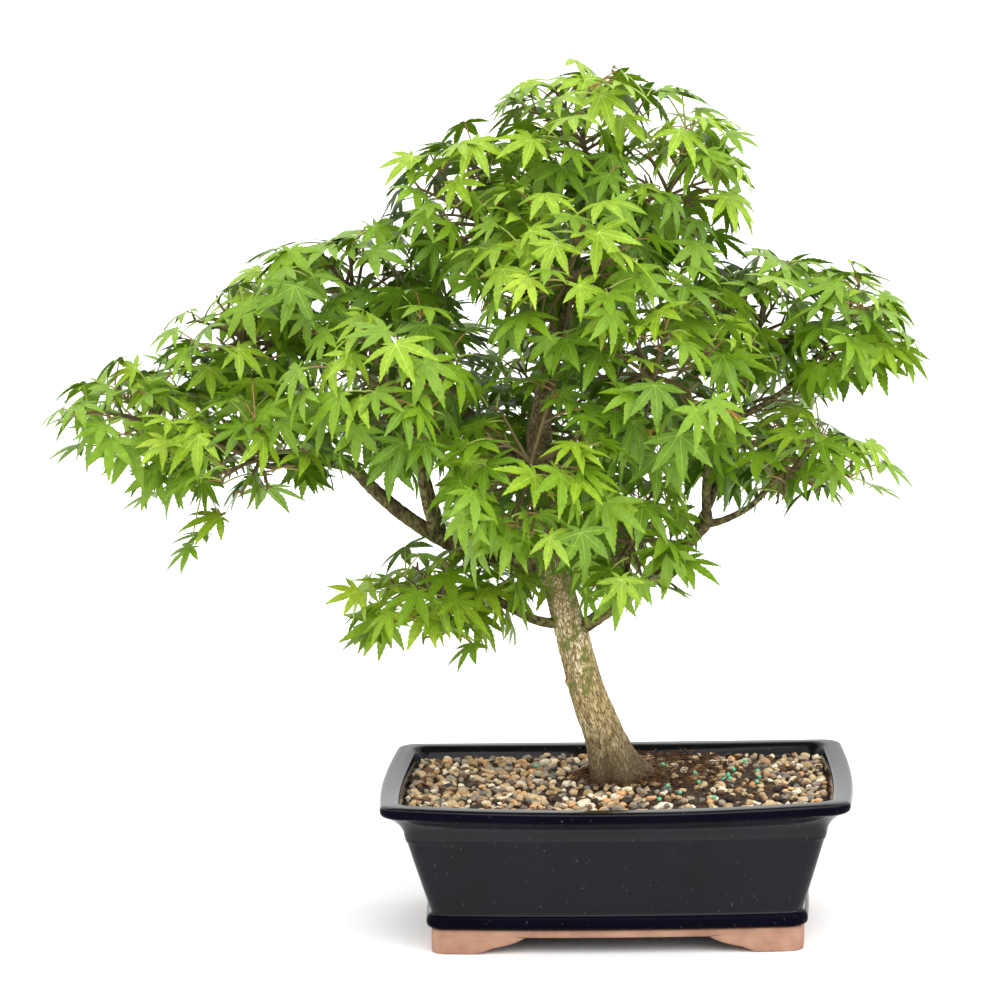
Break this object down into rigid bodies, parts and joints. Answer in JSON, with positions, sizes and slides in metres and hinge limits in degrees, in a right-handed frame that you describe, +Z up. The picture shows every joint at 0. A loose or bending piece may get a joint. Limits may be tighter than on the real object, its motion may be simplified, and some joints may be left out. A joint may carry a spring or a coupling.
{
  "type": "potted bonsai tree",
  "caption": "Bonsai maple with a leaning tapered trunk, spreading boughs and airy masses of lobed leaves, in a footed rectangular glazed pot filled with soil and gravel.",
  "frame": {"origin": "middle of the underside of the plant's bounding box, on the plane that the pot's feet stand on", "axes": "+Z up; +X to the right and +Y away, seen from the front, along and across the pot's long side"},
  "size_m": [0.663, 0.389, 0.6348],
  "materials": {
    "trunk_bark": "rough",
    "bough_bark": "rough",
    "foliage": "satin",
    "glaze": "glossy",
    "bisque": "matte",
    "soil": "matte",
    "gravel": "matte"
  },
  "bodies": {
    "root": {"bough_back": "bough_bark", "bough_back_high": "bough_bark", "bough_back_left": "bough_bark", "bough_back_low": "bough_bark", "bough_back_right": "bough_bark", "bough_front": "bough_bark", "bough_front_high": "bough_bark", "bough_front_right": "bough_bark", "bough_high_left": "bough_bark", "bough_high_right": "bough_bark", "bough_left": "bough_bark", "bough_left_far": "bough_bark", "bough_left_front": "bough_bark", "bough_left_low": "bough_bark", "bough_left_reach": "bough_bark", "bough_left_upper": "bough_bark", "bough_low_left": "bough_bark", "bough_low_right": "bough_bark", "bough_right_low": "bough_bark", "bough_right_out": "bough_bark", "bough_right_tip": "bough_bark", "bough_right_up": "bough_bark", "foliage_centre_back": "foliage", "foliage_centre_front": "foliage", "foliage_centre_right": "foliage", "foliage_crown_left": "foliage", "foliage_crown_right": "foliage", "foliage_crown_top": "foliage", "foliage_left_back": "foliage", "foliage_left_far": "foliage", "foliage_left_front": "foliage", "foliage_left_low": "foliage", "foliage_left_tip": "foliage", "foliage_low_back": "foliage", "foliage_low_left": "foliage", "foliage_low_right": "foliage", "foliage_right_back": "foliage", "foliage_right_low": "foliage", "foliage_right_tip": "foliage", "foliage_right_upper": "foliage", "foliage_upper_back": "foliage", "foliage_upper_front": "foliage", "foliage_upper_left": "foliage", "foot_back_left": "bisque", "foot_back_right": "bisque", "foot_band": "bisque", "foot_front_left": "bisque", "foot_front_right": "bisque", "gravel": "gravel", "pot": "glaze", "soil": "soil", "trunk": "trunk_bark"}
  },
  "joints": []
}
